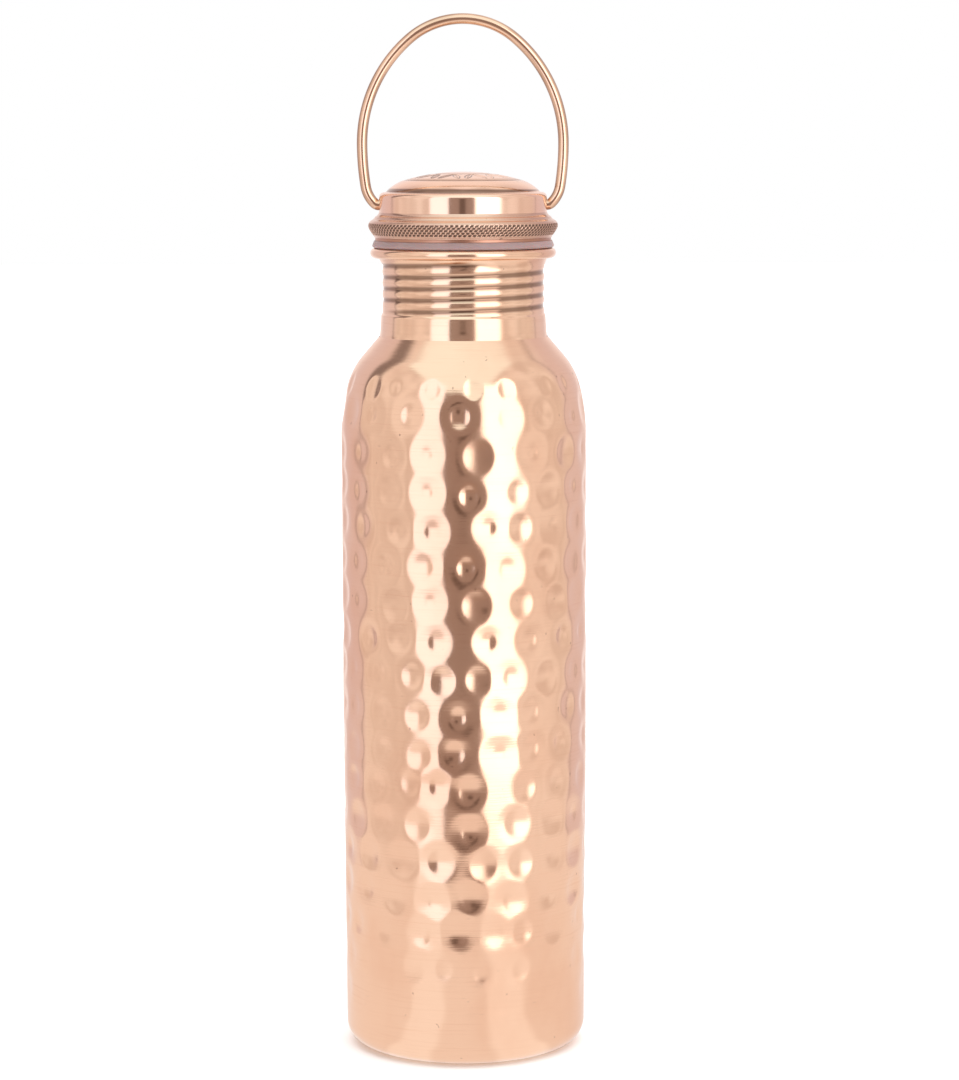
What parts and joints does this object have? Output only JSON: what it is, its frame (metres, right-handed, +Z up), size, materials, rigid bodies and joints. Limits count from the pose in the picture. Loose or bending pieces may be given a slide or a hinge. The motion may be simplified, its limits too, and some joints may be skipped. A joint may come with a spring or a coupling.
{
  "type": "copper water bottle",
  "caption": "Hammered copper water bottle with a threaded neck and a domed screw lid that carries a swinging wire bail.",
  "frame": {"origin": "middle of the foot ring, on the plane that the bottle stands on", "axes": "+Z up the bottle's axis; +X through the two pivots of the bail; -Y towards the front"},
  "size_m": [0.0744, 0.0744, 0.3137],
  "materials": {
    "hammered_copper": "hammered and polished copper",
    "polished_copper": "polished copper with fine turning lines",
    "knurled_copper": "knurled copper with dark recesses",
    "copper_wire": "polished drawn copper wire",
    "clear_silicone": "translucent grey silicone"
  },
  "bodies": {
    "bottle": {"hammered_body": "hammered_copper", "base_plate": "polished_copper", "threaded_neck": "polished_copper"},
    "gasket": {"lid_gasket": "clear_silicone"},
    "lid": {"lid_shell": "polished_copper", "knurled_ring": "knurled_copper", "threaded_plug": "polished_copper"},
    "bail": {"bail_handle": "copper_wire"}
  },
  "joints": [
    {"name": "lid_lift", "type": "slide", "parent": "bottle", "child": "gasket", "axis": [0, 0, 1], "range_m": [0, 0.02721]},
    {"name": "lid_turn", "type": "hinge", "parent": "gasket", "child": "lid", "pos_m": [0, 0, 0.245], "axis": [0, 0, 1], "range_deg": [0, 2880]},
    {"name": "bail_swing", "type": "hinge", "parent": "lid", "child": "bail", "pos_m": [0, 0, 0.2567], "axis": [1, 0, 0], "range_deg": [-125, 125]}
  ],
  "couplings": [
    {"joint": "lid_lift", "follows": "lid_turn", "m_per_rad": 0.00054113}
  ]
}
